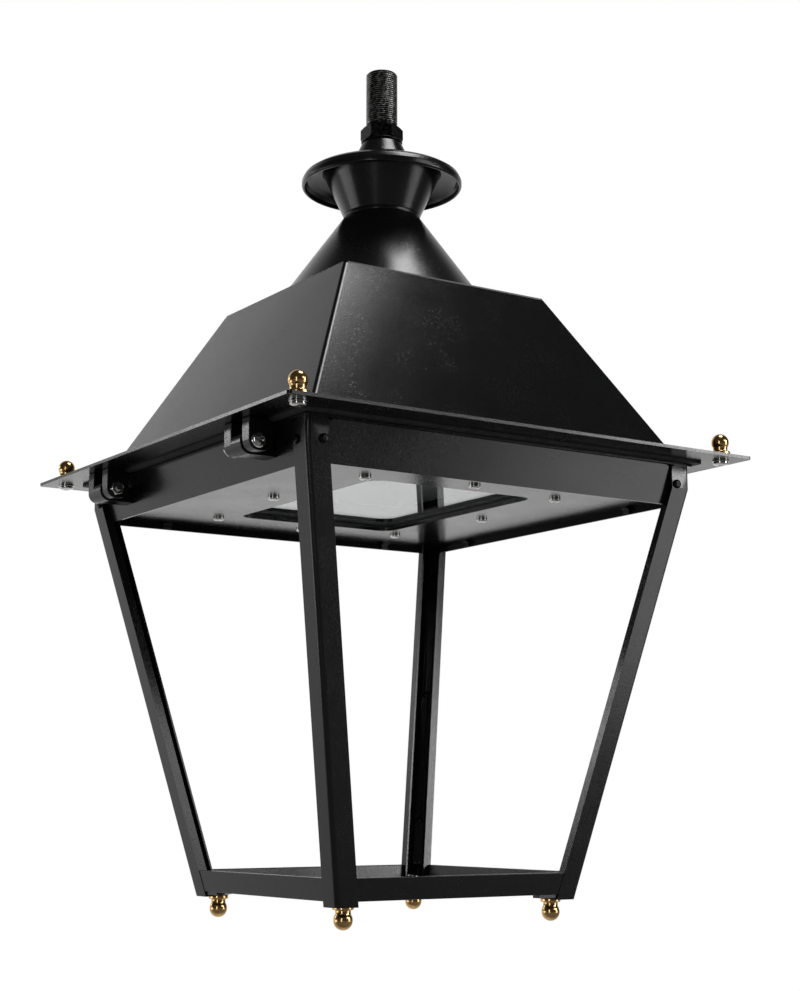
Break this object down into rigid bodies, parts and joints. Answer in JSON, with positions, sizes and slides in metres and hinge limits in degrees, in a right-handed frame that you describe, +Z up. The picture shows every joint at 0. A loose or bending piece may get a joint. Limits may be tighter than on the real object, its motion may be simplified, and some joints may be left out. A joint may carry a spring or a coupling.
{
  "type": "hanging square lantern",
  "caption": "Square sheet-steel lantern with a pyramid roof, chimney and threaded nipple to hang it by; the four-post frame with a glazed plate hinges down from the roof.",
  "frame": {"origin": "on the nipple's axis at the lock nut's top face, where the bracket's socket comes to rest", "axes": "+Z up along the nipple; front is -Y; right is +X; the hinges are on the left side, -X, and the thumbscrew on the right"},
  "size_m": [0.42, 0.42, 0.6989],
  "materials": {
    "black_paint": "satin black powder coat with a fine grain",
    "black_steel": "blackened steel, slightly shiny",
    "stainless_steel": "bright stainless steel",
    "zinc_steel": "zinc-plated sheet",
    "satin_brass": "satin brass",
    "black_rubber": "matt black EPDM",
    "clear_glass": "flat toughened glass",
    "cast_aluminium": "bare cast aluminium",
    "board_white": "white solder mask",
    "clear_plastic": "moulded clear acrylic",
    "white_paint": "matt white enamel",
    "driver_case": "light grey polycarbonate",
    "terminal_plastic": "ivory polyamide"
  },
  "bodies": {
    "roof": {"roof_shell": "black_paint", "roof_brim": "black_paint", "roof_top_plate": "black_paint", "roof_gasket": "black_rubber", "chimney_cone": "black_paint", "neck_plate": "black_paint", "cap_funnel": "black_paint", "cap_disc": "black_paint", "threaded_nipple": "black_steel", "lock_nut": "black_steel", "inner_lock_nut": "zinc_steel", "nut_washer": "black_steel", "upper_finials": "satin_brass", "upper_finial_screws": "stainless_steel", "hinge_ears": "black_paint", "hinge_bolts": "stainless_steel", "hinge_nuts": "stainless_steel", "latch_boss": "black_paint", "gear_tray": "zinc_steel", "tray_angles": "zinc_steel", "heat_sink": "cast_aluminium", "led_board": "board_white", "lens_plate": "clear_plastic", "reflector": "white_paint", "led_driver": "driver_case", "surge_protector": "driver_case", "terminal_block": "terminal_plastic", "cable_clamp": "terminal_plastic", "earth_stud": "satin_brass"},
    "frame": {"cage_flange": "black_paint", "post_screws": "black_steel", "post_liners": "black_paint", "liner_screws": "black_steel", "plate_clips": "black_paint", "corner_gussets": "black_paint", "ring_straps": "black_paint", "lower_finials": "satin_brass", "lower_finial_screws": "stainless_steel", "window_plate": "black_paint", "window_frame": "black_paint", "window_gasket": "black_rubber", "window_glass": "clear_glass", "glass_clamp": "cast_aluminium", "plate_screws": "stainless_steel", "hinge_knuckles": "black_paint", "latch_lug": "black_paint", "post_back_right": "black_paint", "post_back_left": "black_paint", "post_front_left": "black_paint", "post_front_right": "black_paint", "skirt_back": "black_paint", "ring_bar_back": "black_paint", "skirt_left": "black_paint", "ring_bar_left": "black_paint", "skirt_front": "black_paint", "ring_bar_front": "black_paint", "skirt_right": "black_paint", "ring_bar_right": "black_paint"},
    "latch_slide": {"thumbscrew_ring": "stainless_steel"},
    "latch_screw": {"thumbscrew": "stainless_steel"}
  },
  "joints": [
    {"name": "frame_hinge", "type": "hinge", "parent": "roof", "child": "frame", "pos_m": [-0.1905, 0, -0.3121], "axis": [0, 1, 0], "range_deg": [0, 95]},
    {"name": "thumbscrew_travel", "type": "slide", "parent": "frame", "child": "latch_slide", "axis": [0, 0, 1], "range_m": [-0.008, 0]},
    {"name": "thumbscrew_turn", "type": "hinge", "parent": "latch_slide", "child": "latch_screw", "pos_m": [0.186, 0, -0.3126], "axis": [0, 0, 1], "range_deg": [-2880, 0]}
  ],
  "couplings": [
    {"joint": "thumbscrew_travel", "follows": "thumbscrew_turn", "m_per_rad": 0.00015915}
  ]
}
